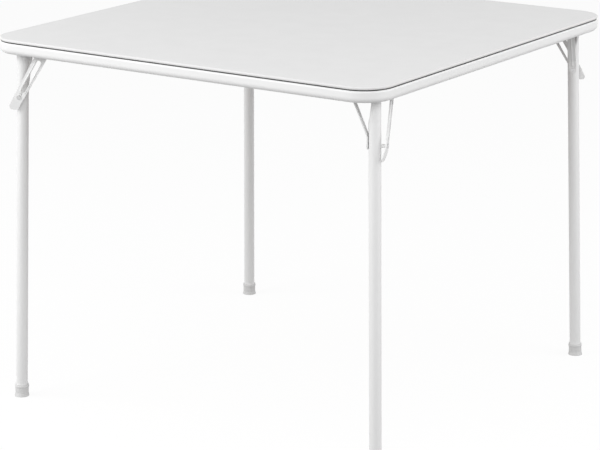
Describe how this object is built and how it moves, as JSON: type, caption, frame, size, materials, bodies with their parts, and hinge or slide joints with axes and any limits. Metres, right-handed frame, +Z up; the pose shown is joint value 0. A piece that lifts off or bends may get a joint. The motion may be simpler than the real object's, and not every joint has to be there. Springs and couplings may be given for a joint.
{
  "type": "folding card table",
  "caption": "Square folding card table with a thin padded top in a rounded steel rail, on splayed tube legs that fold up under it with slotted braces.",
  "frame": {"origin": "on the floor under the middle of the top", "axes": "+Z up, X and Y along the sides of the top; leg a stands at the -X -Y corner and folds towards +X turned 20 degrees to the middle, and legs b, c and d follow counterclockwise seen from above"},
  "size_m": [0.8636, 0.8636, 0.7112],
  "materials": {
    "vinyl": "smooth matt vinyl",
    "foam": "open foam",
    "board": "raw hardboard",
    "frame_paint": "satin powder coat",
    "leg_paint": "satin powder coat",
    "zinc": "bright zinc plate",
    "foot_rubber": "matt moulded rubber"
  },
  "bodies": {
    "table_top": {"top_board": "board", "top_pad": "foam", "top_cover": "vinyl", "cover_staples": "zinc", "frame_rail": "frame_paint", "panel_screws": "zinc", "bracket_rivets": "zinc", "pin_washers": "zinc", "corner_bracket_a": "frame_paint", "hinge_rod_a": "zinc", "brace_pin_a": "zinc", "corner_bracket_b": "frame_paint", "hinge_rod_b": "zinc", "brace_pin_b": "zinc", "corner_bracket_c": "frame_paint", "hinge_rod_c": "zinc", "brace_pin_c": "zinc", "corner_bracket_d": "frame_paint", "hinge_rod_d": "zinc", "brace_pin_d": "zinc"},
    "leg_a": {"leg_tube_a": "leg_paint", "leg_strut_a": "leg_paint", "leg_rivet_a": "zinc", "rivet_bush_a": "zinc", "foot_cap_a": "foot_rubber"},
    "leg_b": {"leg_tube_b": "leg_paint", "leg_strut_b": "leg_paint", "leg_rivet_b": "zinc", "rivet_bush_b": "zinc", "foot_cap_b": "foot_rubber"},
    "leg_c": {"leg_tube_c": "leg_paint", "leg_strut_c": "leg_paint", "leg_rivet_c": "zinc", "rivet_bush_c": "zinc", "foot_cap_c": "foot_rubber"},
    "leg_d": {"leg_tube_d": "leg_paint", "leg_strut_d": "leg_paint", "leg_rivet_d": "zinc", "rivet_bush_d": "zinc", "foot_cap_d": "foot_rubber"},
    "brace_a": {"leg_brace_a": "leg_paint", "brace_stud_a": "zinc"},
    "brace_b": {"leg_brace_b": "leg_paint", "brace_stud_b": "zinc"},
    "brace_c": {"leg_brace_c": "leg_paint", "brace_stud_c": "zinc"},
    "brace_d": {"leg_brace_d": "leg_paint", "brace_stud_d": "zinc"}
  },
  "joints": [
    {"name": "leg_a_fold", "type": "hinge", "parent": "table_top", "child": "leg_a", "pos_m": [-0.3738, -0.3958, 0.6886], "axis": [0.342, -0.9396, 0.0148], "range_deg": [0, 91.85]},
    {"name": "brace_a_swing", "type": "hinge", "parent": "table_top", "child": "brace_a", "pos_m": [-0.32728, -0.37887, 0.6886], "axis": [0.342, -0.9396, 0.0148], "range_deg": [0, 120.36]},
    {"name": "leg_b_fold", "type": "hinge", "parent": "table_top", "child": "leg_b", "pos_m": [0.3958, -0.3738, 0.6886], "axis": [0.9396, 0.342, 0.0148], "range_deg": [0, 91.85]},
    {"name": "brace_b_swing", "type": "hinge", "parent": "table_top", "child": "brace_b", "pos_m": [0.37887, -0.32728, 0.6886], "axis": [0.9396, 0.342, 0.0148], "range_deg": [0, 120.36]},
    {"name": "leg_c_fold", "type": "hinge", "parent": "table_top", "child": "leg_c", "pos_m": [0.3738, 0.3958, 0.6886], "axis": [-0.342, 0.9396, 0.0148], "range_deg": [0, 91.85]},
    {"name": "brace_c_swing", "type": "hinge", "parent": "table_top", "child": "brace_c", "pos_m": [0.32728, 0.37887, 0.6886], "axis": [-0.342, 0.9396, 0.0148], "range_deg": [0, 120.36]},
    {"name": "leg_d_fold", "type": "hinge", "parent": "table_top", "child": "leg_d", "pos_m": [-0.3958, 0.3738, 0.6886], "axis": [-0.9396, -0.342, 0.0148], "range_deg": [0, 91.85]},
    {"name": "brace_d_swing", "type": "hinge", "parent": "table_top", "child": "brace_d", "pos_m": [-0.37887, 0.32728, 0.6886], "axis": [-0.9396, -0.342, 0.0148], "range_deg": [0, 120.36]}
  ],
  "couplings": [
    {"joint": "brace_a_swing", "follows": "leg_a_fold", "ratio": 1.3103},
    {"joint": "brace_b_swing", "follows": "leg_b_fold", "ratio": 1.3103},
    {"joint": "brace_c_swing", "follows": "leg_c_fold", "ratio": 1.3103},
    {"joint": "brace_d_swing", "follows": "leg_d_fold", "ratio": 1.3103}
  ]
}
